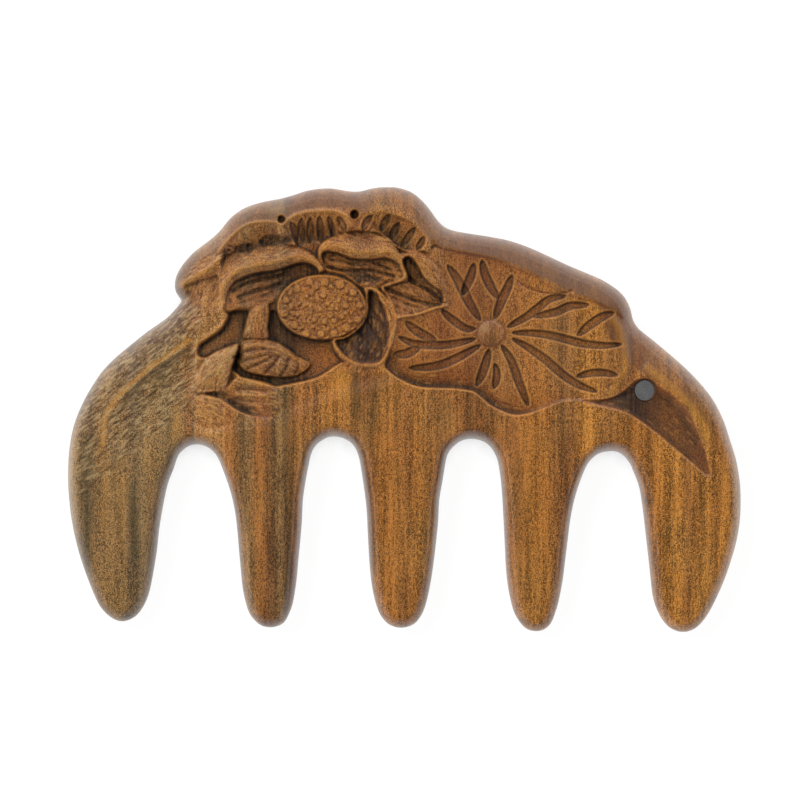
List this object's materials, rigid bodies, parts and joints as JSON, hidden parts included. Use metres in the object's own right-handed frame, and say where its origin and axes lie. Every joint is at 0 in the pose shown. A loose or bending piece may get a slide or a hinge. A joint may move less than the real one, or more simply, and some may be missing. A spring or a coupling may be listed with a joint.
{
  "type": "massage comb",
  "caption": "Wide-tooth wooden massage comb with a thick arched spine, rounded teeth, a hanging hole and a carved lotus and leaf on its front.",
  "frame": {"origin": "under the centre of the comb's box, on the plane it rests on with its back down", "axes": "+X along the spine, +Y from the tooth tips to the top edge, +Z out of the carved front"},
  "size_m": [0.115, 0.076, 0.0125],
  "materials": {
    "wood_left_end": "oiled hardwood, olive heartwood streaks, hand polished",
    "wood_left": "oiled hardwood, hand polished",
    "wood_middle": "oiled hardwood, hand polished",
    "wood_right": "oiled hardwood, hand polished",
    "wood_right_end": "oiled hardwood, reddish, hand polished"
  },
  "bodies": {
    "root": {"left_end_stave": "wood_left_end", "left_stave": "wood_left", "middle_stave": "wood_middle", "right_stave": "wood_right", "right_end_stave": "wood_right_end"}
  },
  "joints": []
}
